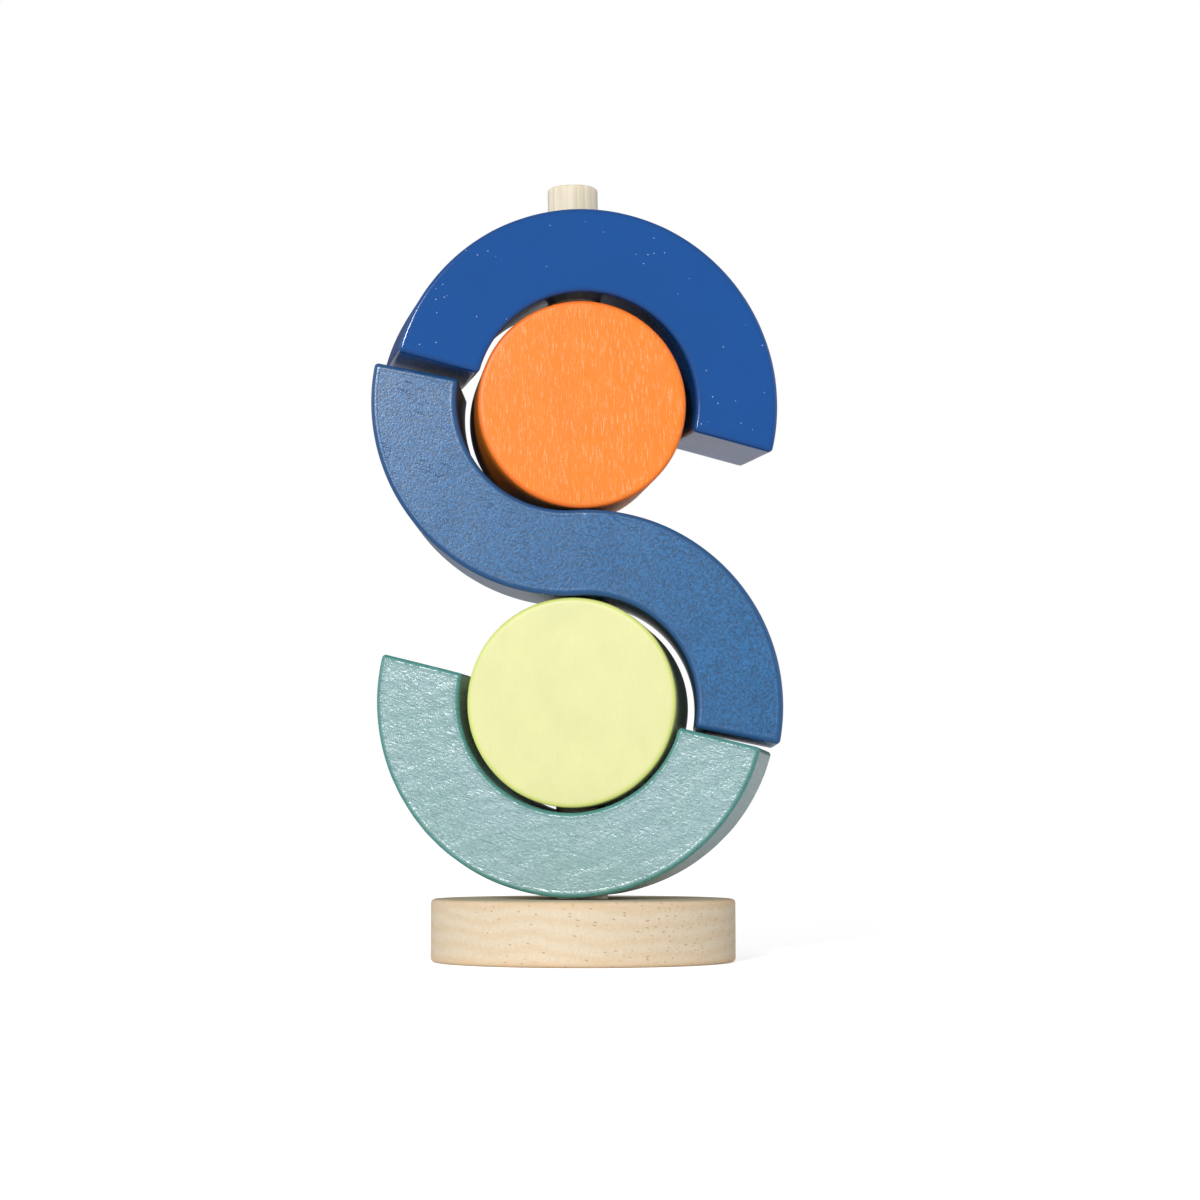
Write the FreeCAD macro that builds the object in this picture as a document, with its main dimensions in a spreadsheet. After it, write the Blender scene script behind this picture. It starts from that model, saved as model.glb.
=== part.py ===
"""Stacking toy in painted wood: arcs, discs and an S curve on a post.

Seven pieces make it, in the order in which they go on: a round base, the post glued into it,
an open arc that cradles a disc, an S curve that bridges that disc and cradles the next one, and
an upside-down arc that closes the stack.  Millimetres; +Z runs up the post, the front faces look
along -Y, and the origin is the middle of the base's underside.
"""

import FreeCAD, Part
import math
import os

import Sketcher

# Driving dimensions, in millimetres and degrees.  The post stands a little out of square in its
# base.  A turn is a piece's swing about the post, a lean is its tilt to the side and a nod its
# tilt to the front, both inside the loose hole.
SIZES = {
    "base_diameter": 90,
    "base_thickness": 18.5,
    "base_edge_round": 1.2,
    "post_diameter": 15,
    "post_length": 224.8,
    "post_edge_round": 1.2,
    "post_lean": -0.85,
    "socket_depth": 12,
    "glue_gap": 0.05,
    "piece_thickness": 45,
    "piece_edge_round": 1.2,
    "disc_diameter": 61.2,
    "arc_inner_diameter": 65.2,
    "arc_outer_diameter": 114.4,
    "s_inner_diameter": 64.4,
    "s_outer_diameter": 114.6,
    "cut_angle": 15,
    "hole_diameter": 16.5,
    "hole_edge_round": 0.6,
    "lower_arc_lift": 0.5,
    "lower_arc_turn": -7.3,
    "lower_arc_nod": -0.5,
    "lower_disc_height": 75.4,
    "lower_disc_turn": -6.2,
    "lower_disc_nod": -0.9,
    "s_curve_height": 119.35,
    "s_curve_turn": -0.8,
    "s_curve_lean": -2.75,
    "upper_disc_height": 162.85,
    "upper_disc_turn": 5.6,
    "upper_arc_height": 209.0,
    "upper_arc_turn": 8.8,
    "upper_arc_lean": -0.2,
    "upper_arc_nod": 1.5,
}

# The height of the post's foot, on the floor of its socket, as an expression.
FOOT = "(Sizes.base_thickness - Sizes.socket_depth)"

START, END, CENTRE = 1, 2, 3    # Sketcher's numbers for the points of a line or arc
X_AXIS, Y_AXIS = -1, -2         # Sketcher's numbers for a sketch's own axes

document = FreeCAD.newDocument("StackingToy")


def make_sheet():
    """The spreadsheet that holds the driving dimensions, one aliased cell each."""
    sheet = document.addObject("Spreadsheet::Sheet", "Sizes")
    for row, (alias, value) in enumerate(SIZES.items(), start=1):
        sheet.set(f"A{row}", alias.replace("_", " "))
        sheet.set(f"B{row}", str(value))
        sheet.setAlias(f"B{row}", alias)
    document.recompute()
    return sheet


def new_body(label):
    body = document.addObject("PartDesign::Body", label)
    body.Label = label
    return body


def new_sketch(body, name, plane_role):
    """A sketch on one of the body's own origin planes."""
    sketch = body.newObject("Sketcher::SketchObject", f"{body.Name}_{name}")
    plane = next(f for f in body.Origin.OriginFeatures if f.Role == plane_role)
    sketch.AttachmentSupport = [(plane, "")]
    sketch.MapMode = "FlatFace"
    return sketch


def drive(sketch, constraint, expression):
    """Add a dimension to a sketch and bind it to the sheet."""
    index = sketch.addConstraint(constraint)
    sketch.setExpression(f"Constraints[{index}]", expression)


def circle_sketch(body, name, plane_role, diameter):
    """A circle round the plane's origin, its diameter an expression."""
    sketch = new_sketch(body, name, plane_role)
    unit_circle = Part.Circle(FreeCAD.Vector(), FreeCAD.Vector(0, 0, 1), 1)
    circle = sketch.addGeometry(unit_circle, False)
    sketch.addConstraint(Sketcher.Constraint("Coincident", circle, CENTRE, X_AXIS, START))
    drive(sketch, Sketcher.Constraint("Diameter", circle, 1), diameter)
    return sketch


def extrude(body, name, sketch, length=None, kind="Pad", midplane=False, reverse=False):
    """Pad or pocket a sketch by an expression; a pocket with no length goes right through."""
    feature = body.newObject(f"PartDesign::{kind}", f"{body.Name}_{name}")
    feature.Profile = sketch
    feature.Midplane = midplane
    feature.Reversed = reverse
    if length is None:
        feature.Type = "ThroughAll"
    else:
        feature.setExpression("Length", length)
    sketch.Visibility = False
    document.recompute()
    return feature


def round_edges(body, name, base, radius, wanted=lambda edge: True):
    """Round those edges of a feature that the test picks."""
    fillet = body.newObject("PartDesign::Fillet", f"{body.Name}_{name}")
    edges = [f"Edge{i}" for i, edge in enumerate(base.Shape.Edges, start=1) if wanted(edge)]
    fillet.Base = (base, edges)
    fillet.setExpression("Radius", radius)
    document.recompute()
    return fillet


def bore_for_post(body, blank):
    """Drill the loose hole for the post along the body's Z axis and soften its rims."""
    sketch = circle_sketch(body, "HoleSketch", "XY_Plane", "Sizes.hole_diameter")
    hole = extrude(body, "Hole", sketch, kind="Pocket", midplane=True)
    if hole.Shape.Volume >= blank.Shape.Volume:
        raise RuntimeError(f"{body.Label}: the hole cut nothing")
    wall = max(hole.Shape.Faces, key=lambda face: is_hole_wall(face) * face.Area)
    rims = [edge.hashCode() for edge in wall.Edges if not isinstance(edge.Curve, Part.Line)]
    return round_edges(body, "HoleRounds", hole, "Sizes.hole_edge_round",
                       lambda edge: edge.hashCode() in rims)


def is_hole_wall(face):
    """True for the cylinder that the drill leaves."""
    radius = SIZES["hole_diameter"] / 2
    return isinstance(face.Surface, Part.Cylinder) and abs(face.Surface.Radius - radius) < 1e-6


def is_circle(edge):
    return isinstance(edge.Curve, Part.Circle)


def on_post(height):
    """The frame at a height on the post's leaning axis, as an expression."""
    aside = f"({height} - {FOOT}) * tan(Sizes.post_lean * 1 deg)"
    return f"placement(vector({aside}; 0; {height}); rotation(0 deg; Sizes.post_lean * 1 deg; 0 deg))"


def place(body, height, turn="0", lean="0", nod="0"):
    """Put a body at a height on the post, turned about it and tilted in its loose hole."""
    spin = f"rotation({turn} * 1 deg; {lean} * 1 deg; {nod} * 1 deg)"
    body.setExpression("Placement", f"{on_post(height)} * placement(vector(0; 0; 0); {spin})")


class Ring:
    """The flat ring that a curved bar is cut from: its two circles, as numbers and expressions."""

    def __init__(self, kind):
        self.inner = SIZES[f"{kind}_inner_diameter"] / 2
        self.outer = SIZES[f"{kind}_outer_diameter"] / 2
        self.reach = (self.inner + self.outer) / 2
        inner, outer = f"Sizes.{kind}_inner_diameter", f"Sizes.{kind}_outer_diameter"
        self.inner_text = f"{inner} / 2"
        self.outer_text = f"{outer} / 2"
        self.reach_text = f"({inner} + {outer}) / 4"
        self.width_text = f"({outer} - {inner}) / 2"


def polar(centre_height, radius, degrees):
    """A point of a circle about (0, centre_height) in the sketch's plane."""
    angle = math.radians(degrees)
    return FreeCAD.Vector(radius * math.cos(angle), centre_height + radius * math.sin(angle), 0)


def add_arc(sketch, centre_height, radius, first, last):
    """An arc about (0, centre_height), from one angle to another, anticlockwise."""
    centre = FreeCAD.Vector(0, centre_height, 0)
    circle = Part.Circle(centre, FreeCAD.Vector(0, 0, 1), radius)
    return sketch.addGeometry(
        Part.ArcOfCircle(circle, math.radians(first), math.radians(last)), False)


def add_end(sketch, centre_height, ring, degrees):
    """The straight end of a ring, along a radius of its circles."""
    inner = polar(centre_height, ring.inner, degrees)
    outer = polar(centre_height, ring.outer, degrees)
    return sketch.addGeometry(Part.LineSegment(inner, outer), False)


def join(sketch, first, first_point, second, second_point):
    sketch.addConstraint(
        Sketcher.Constraint("Coincident", first, first_point, second, second_point))


def half_ring_sketch(body, side):
    """Half a ring, cut on a slant.  side is +1 where it opens upwards and -1 downwards.

    The body's origin is the middle of the hole, so the ring's centre is a mean radius away.
    """
    sketch = new_sketch(body, "Profile", "XZ_Plane")
    ring = Ring("arc")
    centre = side * ring.reach
    cut = SIZES["cut_angle"]
    first, last = (180 - cut, 360 - cut) if side > 0 else (-cut, 180 - cut)
    inner = add_arc(sketch, centre, ring.inner, first, last)
    outer = add_arc(sketch, centre, ring.outer, first, last)
    first_end = add_end(sketch, centre, ring, first)
    last_end = add_end(sketch, centre, ring, last)
    for end, point in ((first_end, START), (last_end, END)):
        join(sketch, end, START, inner, point)
        join(sketch, end, END, outer, point)
    join(sketch, inner, CENTRE, outer, CENTRE)
    sketch.addConstraint(Sketcher.Constraint("PointOnObject", inner, CENTRE, Y_AXIS))
    for end in (first_end, last_end):
        sketch.addConstraint(Sketcher.Constraint("PointOnObject", inner, CENTRE, end))
    drive(sketch, Sketcher.Constraint("Radius", inner, ring.inner), ring.inner_text)
    drive(sketch, Sketcher.Constraint("Radius", outer, ring.outer), ring.outer_text)
    drive(sketch, Sketcher.Constraint("DistanceY", X_AXIS, START, inner, CENTRE, centre),
          f"{side} * {ring.reach_text}")
    low_end = last_end if side > 0 else first_end
    drive(sketch, Sketcher.Constraint("Angle", low_end, math.radians(-cut)),
          "-Sizes.cut_angle * 1 deg")
    return sketch


def s_curve_sketch(body):
    """Two part rings that meet at the post: the upper one on the left, the lower on the right."""
    sketch = new_sketch(body, "Profile", "XZ_Plane")
    ring = Ring("s")
    cut = SIZES["cut_angle"]
    upper_inner = add_arc(sketch, ring.reach, ring.inner, 180 - cut, 270)
    upper_outer = add_arc(sketch, ring.reach, ring.outer, 180 - cut, 270)
    lower_inner = add_arc(sketch, -ring.reach, ring.inner, -cut, 90)
    lower_outer = add_arc(sketch, -ring.reach, ring.outer, -cut, 90)
    upper_end = add_end(sketch, ring.reach, ring, 180 - cut)
    lower_end = add_end(sketch, -ring.reach, ring, -cut)
    for inner, outer, end in ((upper_inner, upper_outer, upper_end),
                              (lower_inner, lower_outer, lower_end)):
        join(sketch, inner, CENTRE, outer, CENTRE)
        join(sketch, end, START, inner, START)
        join(sketch, end, END, outer, START)
        sketch.addConstraint(Sketcher.Constraint("PointOnObject", inner, CENTRE, Y_AXIS))
        sketch.addConstraint(Sketcher.Constraint("PointOnObject", inner, END, Y_AXIS))
        sketch.addConstraint(Sketcher.Constraint("PointOnObject", inner, CENTRE, end))
        drive(sketch, Sketcher.Constraint("Radius", outer, ring.outer), ring.outer_text)
    # Where the two rings meet, the upper one's inside runs on as the lower one's outside.
    drive(sketch, Sketcher.Constraint("Radius", upper_inner, ring.inner), ring.inner_text)
    join(sketch, upper_inner, END, lower_outer, END)
    join(sketch, upper_outer, END, lower_inner, END)
    drive(sketch, Sketcher.Constraint("DistanceY", X_AXIS, START, upper_inner, CENTRE, ring.reach),
          ring.reach_text)
    drive(sketch, Sketcher.Constraint("Angle", lower_end, math.radians(-cut)),
          "-Sizes.cut_angle * 1 deg")
    drive(sketch, Sketcher.Constraint("Angle", upper_end, math.radians(180 - cut)),
          "(180 - Sizes.cut_angle) * 1 deg")
    return sketch


def make_base():
    """The round foot, with a blind socket for the post, bored at the post's lean."""
    body = new_body("base")
    disc = extrude(body, "Disc", circle_sketch(body, "Outline", "XY_Plane", "Sizes.base_diameter"),
                   "Sizes.base_thickness")
    round_edges(body, "Rounds", disc, "Sizes.base_edge_round", is_circle)
    sketch = circle_sketch(body, "SocketSketch", "XY_Plane",
                           "Sizes.post_diameter + 2 * Sizes.glue_gap")
    # The leaning plane starts clear of the base, so that the socket's whole mouth is open.
    clear = 1
    sketch.setExpression("AttachmentOffset", on_post(f"(Sizes.base_thickness + {clear})"))
    socket = extrude(body, "Socket", sketch,
                     f"(Sizes.socket_depth + {clear}) / cos(Sizes.post_lean * 1 deg)",
                     kind="Pocket")
    if socket.Shape.Volume >= disc.Shape.Volume * 0.99:
        raise RuntimeError("base: the socket cut too little")
    return body


def make_post():
    """The dowel, from the floor of its socket to its rounded top."""
    body = new_body("post")
    dowel = extrude(body, "Dowel", circle_sketch(body, "Outline", "XY_Plane", "Sizes.post_diameter"),
                    "Sizes.post_length")
    round_edges(body, "TopRound", dowel, "Sizes.post_edge_round",
                lambda edge: is_circle(edge) and edge.Curve.Center.z > SIZES["post_length"] / 2)
    place(body, FOOT)
    return body


def make_piece(label, profile, placing, rounded_edges=lambda edge: True):
    """A loose piece: its face shape padded both ways, edges rounded, and the hole drilled."""
    body = new_body(label)
    blank = extrude(body, "Blank", profile(body), "Sizes.piece_thickness", midplane=True)
    rounded = round_edges(body, "Rounds", blank, "Sizes.piece_edge_round", rounded_edges)
    bore_for_post(body, rounded)
    place(body, **placing)
    return body


def disc_sketch(body):
    return circle_sketch(body, "Profile", "XZ_Plane", "Sizes.disc_diameter")


def make_pieces():
    """Every piece, from the bottom up."""
    lower_arc_height = f"(Sizes.base_thickness + Sizes.lower_arc_lift + {Ring('arc').width_text} / 2)"
    return [
        make_base(),
        make_post(),
        make_piece("lower_arc", lambda body: half_ring_sketch(body, 1), {
            "height": lower_arc_height,
            "turn": "Sizes.lower_arc_turn",
            "nod": "Sizes.lower_arc_nod",
        }),
        make_piece("lower_disc", disc_sketch, {
            "height": "Sizes.lower_disc_height",
            "turn": "Sizes.lower_disc_turn",
            "nod": "Sizes.lower_disc_nod",
        }, is_circle),
        make_piece("s_curve", s_curve_sketch, {
            "height": "Sizes.s_curve_height",
            "turn": "Sizes.s_curve_turn",
            "lean": "Sizes.s_curve_lean",
        }),
        make_piece("upper_disc", disc_sketch, {
            "height": "Sizes.upper_disc_height",
            "turn": "Sizes.upper_disc_turn",
        }, is_circle),
        make_piece("upper_arc", lambda body: half_ring_sketch(body, -1), {
            "height": "Sizes.upper_arc_height",
            "turn": "Sizes.upper_arc_turn",
            "lean": "Sizes.upper_arc_lean",
            "nod": "Sizes.upper_arc_nod",
        }),
    ]


def check_document(pieces):
    """Stop if any object failed or any piece isn't one sound solid."""
    for item in document.Objects:
        if "Invalid" in item.State or "Error" in item.State:
            raise RuntimeError(f"{item.Name} failed: {item.State}")
    for piece in pieces:
        shape = piece.Shape
        if shape.isNull() or not shape.isValid() or len(shape.Solids) != 1:
            raise RuntimeError(f"{piece.Label} is not one valid solid")


def main():
    make_sheet()
    pieces = make_pieces()
    document.recompute()
    check_document(pieces)
    os.makedirs("parts", exist_ok=True)
    for piece in pieces:
        piece.Shape.exportStep(f"parts/{piece.Label}.step")
        box = piece.Shape.BoundBox
        print(f"{piece.Label}: {piece.Shape.Volume / 1000:.1f} cm3, "
              f"x {box.XMin:.1f}..{box.XMax:.1f}, y {box.YMin:.1f}..{box.YMax:.1f}, "
              f"z {box.ZMin:.1f}..{box.ZMax:.1f}")


main()
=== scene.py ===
"""Looks for the stacking toy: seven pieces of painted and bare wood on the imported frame."""
import math

import bmesh
import bpy
import numpy as np
from bpy.props import FloatProperty, FloatVectorProperty, PointerProperty
from bpy.types import Operator, Panel, PropertyGroup
from mathutils import Matrix, Vector, noise
from mathutils.kdtree import KDTree


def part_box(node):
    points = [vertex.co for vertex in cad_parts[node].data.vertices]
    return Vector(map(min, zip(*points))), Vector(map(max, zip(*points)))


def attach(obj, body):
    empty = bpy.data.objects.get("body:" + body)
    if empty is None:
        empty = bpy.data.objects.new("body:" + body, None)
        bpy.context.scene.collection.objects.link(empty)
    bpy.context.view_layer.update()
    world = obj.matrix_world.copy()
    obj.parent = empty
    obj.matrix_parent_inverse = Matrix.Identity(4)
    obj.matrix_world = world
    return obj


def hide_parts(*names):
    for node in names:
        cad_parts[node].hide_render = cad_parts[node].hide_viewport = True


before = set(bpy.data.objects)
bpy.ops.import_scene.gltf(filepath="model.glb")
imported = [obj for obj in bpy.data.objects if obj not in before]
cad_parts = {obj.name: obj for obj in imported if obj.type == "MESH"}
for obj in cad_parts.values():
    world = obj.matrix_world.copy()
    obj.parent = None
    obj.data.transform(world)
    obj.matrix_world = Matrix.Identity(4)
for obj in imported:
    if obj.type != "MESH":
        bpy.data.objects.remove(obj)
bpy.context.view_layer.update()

bl_info = {
    "name": "Stacking Toy",
    "version": (1, 0, 0),
    "blender": (4, 5, 0),
    "location": "3D View > Sidebar > Stacking Toy",
    "description": "Builds a painted wooden stacking toy round its packed frame",
    "category": "Object",
}

MM = 0.001

# How finely the surfaces are divided.
FACE_STEP = 0.8 * MM        # across a flat face, fine enough to carry the brushed relief
SIDE_STEP = 1.3 * MM        # along the quiet sides
ROUND_STEPS = 5             # round a rounded edge
TURN_STEPS = 256            # round a turned piece
HOLE_STEPS = 96             # round a drilled hole
MERGE_GAP = 0.002 * MM      # points nearer than this are one
SHARP = math.radians(50)    # corners sharper than this are shaded as corners

# The stage.
FLOOR_HALF = 15.0                             # metres, so that its edge is never seen
KEY_WAY = (-0.276, -1.025, 0.294)             # from the toy towards the key light
KEY_STRENGTH = 2.0
KEY_SPREAD = math.radians(9)
EYE_PLACE = (4.95 * MM, -900.8 * MM, 38.9 * MM)
EYE_TILT = math.radians(90 + 4.33)            # from straight down, so a little above level
EYE_LENS = 90.9                               # millimetres, on a sensor 36 wide


# ---------------------------------------------------------------- what a user can change

def linear(hex_value):
    """An sRGB hex colour, such as "#2B5C9E", as linear light."""
    channels = (int(hex_value[i:i + 2], 16) / 255 for i in (1, 3, 5))
    return tuple(c / 12.92 if c <= 0.04045 else ((c + 0.055) / 1.055) ** 2.4 for c in channels)


def length(name, metres, description):
    return FloatProperty(name=name, description=description, default=metres, min=0.0,
                         subtype="DISTANCE", unit="LENGTH", precision=4)


def angle(name, degrees, description):
    return FloatProperty(name=name, description=description, default=math.radians(degrees),
                         subtype="ANGLE", unit="ROTATION")


def colour(name, hex_value, description):
    return FloatVectorProperty(name=name, description=description, default=linear(hex_value),
                               min=0.0, max=1.0, size=3, subtype="COLOR")


def span(node, axis):
    """A node's size along one axis: 0, 1 or 2."""
    low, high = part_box(node)
    return high[axis] - low[axis]


class ToySizes(PropertyGroup):
    """Sizes of the toy's pieces."""
    base_diameter: length("Base", span("base", 0), "Diameter of the round base")
    base_thickness: length("Base thickness", span("base", 2), "Thickness of the base")
    base_round: length("Base edge", 1.2 * MM, "Radius of the base's sanded edges")
    post_diameter: length("Post", 15 * MM, "Diameter of the dowel")
    post_length: length("Post length", 224.8 * MM, "Length of the dowel, with the part in the socket")
    post_round: length("Post edge", 1.2 * MM, "Radius round the dowel's top")
    post_lean: angle("Post lean", -0.85, "How far the dowel stands out of square in its base")
    socket_diameter: length("Socket", 15.1 * MM, "Diameter of the socket that holds the dowel")
    socket_depth: length("Socket depth", 12 * MM, "How deep the dowel goes into the base")
    thickness: length("Piece thickness", 45 * MM, "Front to back of every painted piece")
    edge_round: length("Piece edge", 1.2 * MM, "Radius of the painted pieces' edges")
    disc_diameter: length("Disc", 61.2 * MM, "Diameter of a disc")
    arc_inner: length("Arc inside", 65.2 * MM, "Inside diameter of an arc")
    arc_outer: length("Arc outside", 114.4 * MM, "Outside diameter of an arc")
    s_inner: length("S inside", 64.4 * MM, "Inside diameter of the S curve's bends")
    s_outer: length("S outside", 114.6 * MM, "Outside diameter of the S curve's bends")
    cut: angle("Cut", 15, "Slant of the line along which the arcs are cut")
    hole_diameter: length("Hole", 16.5 * MM, "Diameter of the loose hole for the post")
    hole_lip: length("Hole edge", 0.6 * MM, "How far the hole's edge is softened")


class ToyPlaces(PropertyGroup):
    """Where each painted piece sits on the post, and how it has swung in its loose hole."""
    lower_arc_height: length("Lower arc", 31.3 * MM, "Height of the lower arc's hole")
    lower_arc_turn: angle("Lower arc turn", -7.3, "Swing of the lower arc about the post")
    lower_arc_nod: angle("Lower arc nod", -0.5, "Tilt of the lower arc to the front")
    lower_disc_height: length("Lower disc", 75.4 * MM, "Height of the lower disc")
    lower_disc_turn: angle("Lower disc turn", -6.2, "Swing of the lower disc about the post")
    lower_disc_nod: angle("Lower disc nod", -0.9, "Tilt of the lower disc to the front")
    s_curve_height: length("S curve", 119.35 * MM, "Height of the S curve's hole")
    s_curve_turn: angle("S curve turn", -0.8, "Swing of the S curve about the post")
    s_curve_lean: angle("S curve lean", -2.75, "Tilt of the S curve to the side")
    upper_disc_height: length("Upper disc", 162.85 * MM, "Height of the upper disc")
    upper_disc_turn: angle("Upper disc turn", 5.6, "Swing of the upper disc about the post")
    upper_arc_height: length("Upper arc", 209 * MM, "Height of the upper arc's hole")
    upper_arc_turn: angle("Upper arc turn", 8.8, "Swing of the upper arc about the post")
    upper_arc_lean: angle("Upper arc lean", -0.2, "Tilt of the upper arc to the side")
    upper_arc_nod: angle("Upper arc nod", 1.5, "Tilt of the upper arc to the front")


class ToyColours(PropertyGroup):
    """Paints and bare wood."""
    royal: colour("Royal blue", "#094F98", "Upper arc")
    slate: colour("Slate blue", "#155C90", "S curve")
    orange: colour("Orange", "#F58412", "Upper disc")
    lime: colour("Lime", "#D8D993", "Lower disc")
    sage: colour("Sage green", "#98B2BA", "Lower arc")
    rubberwood: colour("Bare base", "#DECDB2", "Base")
    birch: colour("Bare dowel", "#F0E6D0", "Post")
    floor: colour("Floor", "#F4F4F6", "Floor under the toy")


# ---------------------------------------------------------------- meshes

def run(start, end, step):
    """Evenly spaced points from start towards end, the last one left out."""
    start, end = np.array(start, float), np.array(end, float)
    count = max(1, round(float(np.linalg.norm(end - start)) / step))
    return [start + (end - start) * i / count for i in range(count)]


def bend(centre, radius, first, last):
    """Points round an arc in degrees, the last one left out."""
    angles = [math.radians(first + (last - first) * i / ROUND_STEPS) for i in range(ROUND_STEPS)]
    return [np.array(centre) + radius * np.array((math.cos(a), math.sin(a))) for a in angles]


def grid_faces(rows, columns, first, closed):
    """Quads over a grid of numbered points; closed joins each row's last column to its first."""
    last = columns if closed else columns - 1
    return [
        (first + r * columns + c, first + r * columns + (c + 1) % columns,
         first + (r + 1) * columns + (c + 1) % columns, first + (r + 1) * columns + c)
        for r in range(rows - 1) for c in range(last)
    ]


def make_mesh(name, points, faces):
    """A mesh object with doubled points merged and all faces turned outwards."""
    mesh = bpy.data.meshes.new(name)
    mesh.from_pydata([tuple(p) for p in points], [], faces)
    work = bmesh.new()
    work.from_mesh(mesh)
    bmesh.ops.remove_doubles(work, verts=work.verts, dist=MERGE_GAP)
    bmesh.ops.dissolve_degenerate(work, edges=work.edges, dist=MERGE_GAP)
    bmesh.ops.recalc_face_normals(work, faces=work.faces)
    work.to_mesh(mesh)
    work.free()
    mesh.shade_smooth()
    piece = bpy.data.objects.new(name, mesh)
    bpy.context.scene.collection.objects.link(piece)
    return piece


def rim_points(radius, height, lying=False):
    """One turn of points about Z, or about Y for a piece that lies down."""
    points = []
    for i in range(TURN_STEPS):
        a = math.tau * i / TURN_STEPS
        x, other = radius * math.cos(a), radius * math.sin(a)
        points.append((x, height, other) if lying else (x, other, height))
    return points


def lathe(name, profile, lying=False):
    """Turn a (radius, along) profile about Z, or about Y for a piece that lies down."""
    points = []
    for radius, along in profile:
        points += rim_points(radius, along, lying)
    return make_mesh(name, points, grid_faces(len(profile), TURN_STEPS, 0, closed=True))


def base_profile(sizes):
    """The base's half section, up the outside and down into the socket."""
    radius, top, edge = sizes.base_diameter / 2, sizes.base_thickness, sizes.base_round
    socket, floor = sizes.socket_diameter / 2, sizes.base_thickness - sizes.socket_depth
    profile = run((0, 0), (radius - edge, 0), SIDE_STEP)
    profile += bend((radius - edge, edge), edge, -90, 0)
    profile += run((radius, edge), (radius, top - edge), FACE_STEP)
    profile += bend((radius - edge, top - edge), edge, 0, 90)
    profile += run((radius - edge, top), (socket, top), FACE_STEP)
    profile += run((socket, top), (socket, floor), SIDE_STEP)
    profile += [np.array((socket, floor)), np.array((0.0, floor))]
    return profile


def lean_socket(piece, sizes):
    """Push the base's socket over to the post's lean, with its mouth kept level."""
    top, floor = sizes.base_thickness, sizes.base_thickness - sizes.socket_depth
    slope = math.tan(sizes.post_lean)
    for vertex in piece.data.vertices:
        x, y, z = vertex.co
        if z >= floor - MERGE_GAP and math.hypot(x, y) <= sizes.socket_diameter / 2 + MERGE_GAP:
            level = (z - floor) / (top - floor)
            vertex.co.x = x + (z - floor) * slope
            vertex.co.z = z - x * slope * (1 - level)


def post_profile(sizes):
    """The dowel's half section, from the foot to the rounded top."""
    radius, top, edge = sizes.post_diameter / 2, sizes.post_length, sizes.post_round
    profile = run((0, 0), (radius, 0), SIDE_STEP)
    profile += run((radius, 0), (radius, top - edge), SIDE_STEP)
    profile += bend((radius - edge, top - edge), edge, 0, 90)
    profile += run((radius - edge, top), (0, top), FACE_STEP)
    profile.append(np.array((0.0, top)))
    return profile


def disc_profile(sizes):
    """A disc's half section, from the middle of one face to the middle of the other."""
    radius, deep, edge = sizes.disc_diameter / 2, sizes.thickness / 2, sizes.edge_round
    profile = run((0, -deep), (radius - edge, -deep), FACE_STEP)
    profile += bend((radius - edge, -deep + edge), edge, -90, 0)
    profile += run((radius, -deep + edge), (radius, deep - edge), SIDE_STEP)
    profile += bend((radius - edge, deep - edge), edge, 0, 90)
    profile += run((radius - edge, deep), (0, deep), FACE_STEP)
    profile.append(np.array((0.0, deep)))
    return profile


def ribbon_section(flat_across, flat_deep, reach, across, deep):
    """Round the bar's section: corners of radius reach round a flat-sided core."""
    corners = ((1, -1, -90), (1, 1, 0), (-1, 1, 90), (-1, -1, 180))
    points = []
    for i, (side, back, start) in enumerate(corners):
        core = np.array((side * flat_across, back * flat_deep))
        next_side, next_back, _ = corners[(i + 1) % 4]
        next_core = np.array((next_side * flat_across, next_back * flat_deep))
        points += bend(core, reach, start, start + 90)
        out = reach * np.array((math.cos(math.radians(start + 90)),
                                math.sin(math.radians(start + 90))))
        count = deep if i % 2 == 0 else across
        points += [core + out + (next_core - core) * k / count for k in range(count)]
    return points


def ribbon_point(path, radius, edge, along, total, offset):
    """A point of the curved bar's side view.

    path lists (centre height, first angle, last angle) of the arcs that the bar follows, along is
    the distance travelled on the middle line, and offset is the distance to the left of it.
    Near an end the stations turn parallel to the straight cut.
    """
    travelled = 0.0
    for centre, first, last in path:
        stretch = radius * math.radians(abs(last - first))
        if along <= travelled + stretch + MERGE_GAP or (centre, first, last) == path[-1]:
            break
        travelled += stretch
    way = 1 if last > first else -1
    reach = radius - way * offset
    here = along - travelled
    turned = here / radius
    settle = 4 * edge
    for distance, from_start in ((along, True), (total - along, False)):
        if distance < settle:
            share = min(max((distance - edge) / (settle - edge), 0.0), 1.0)
            share = share * share * (3 - 2 * share)
            parallel = math.asin(distance / reach)
            bent = distance / radius
            near = parallel * (1 - share) + bent * share
            turned = near if from_start else math.radians(abs(last - first)) - near
    a = math.radians(first) + way * turned
    return reach * math.cos(a), centre + reach * math.sin(a)


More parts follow.
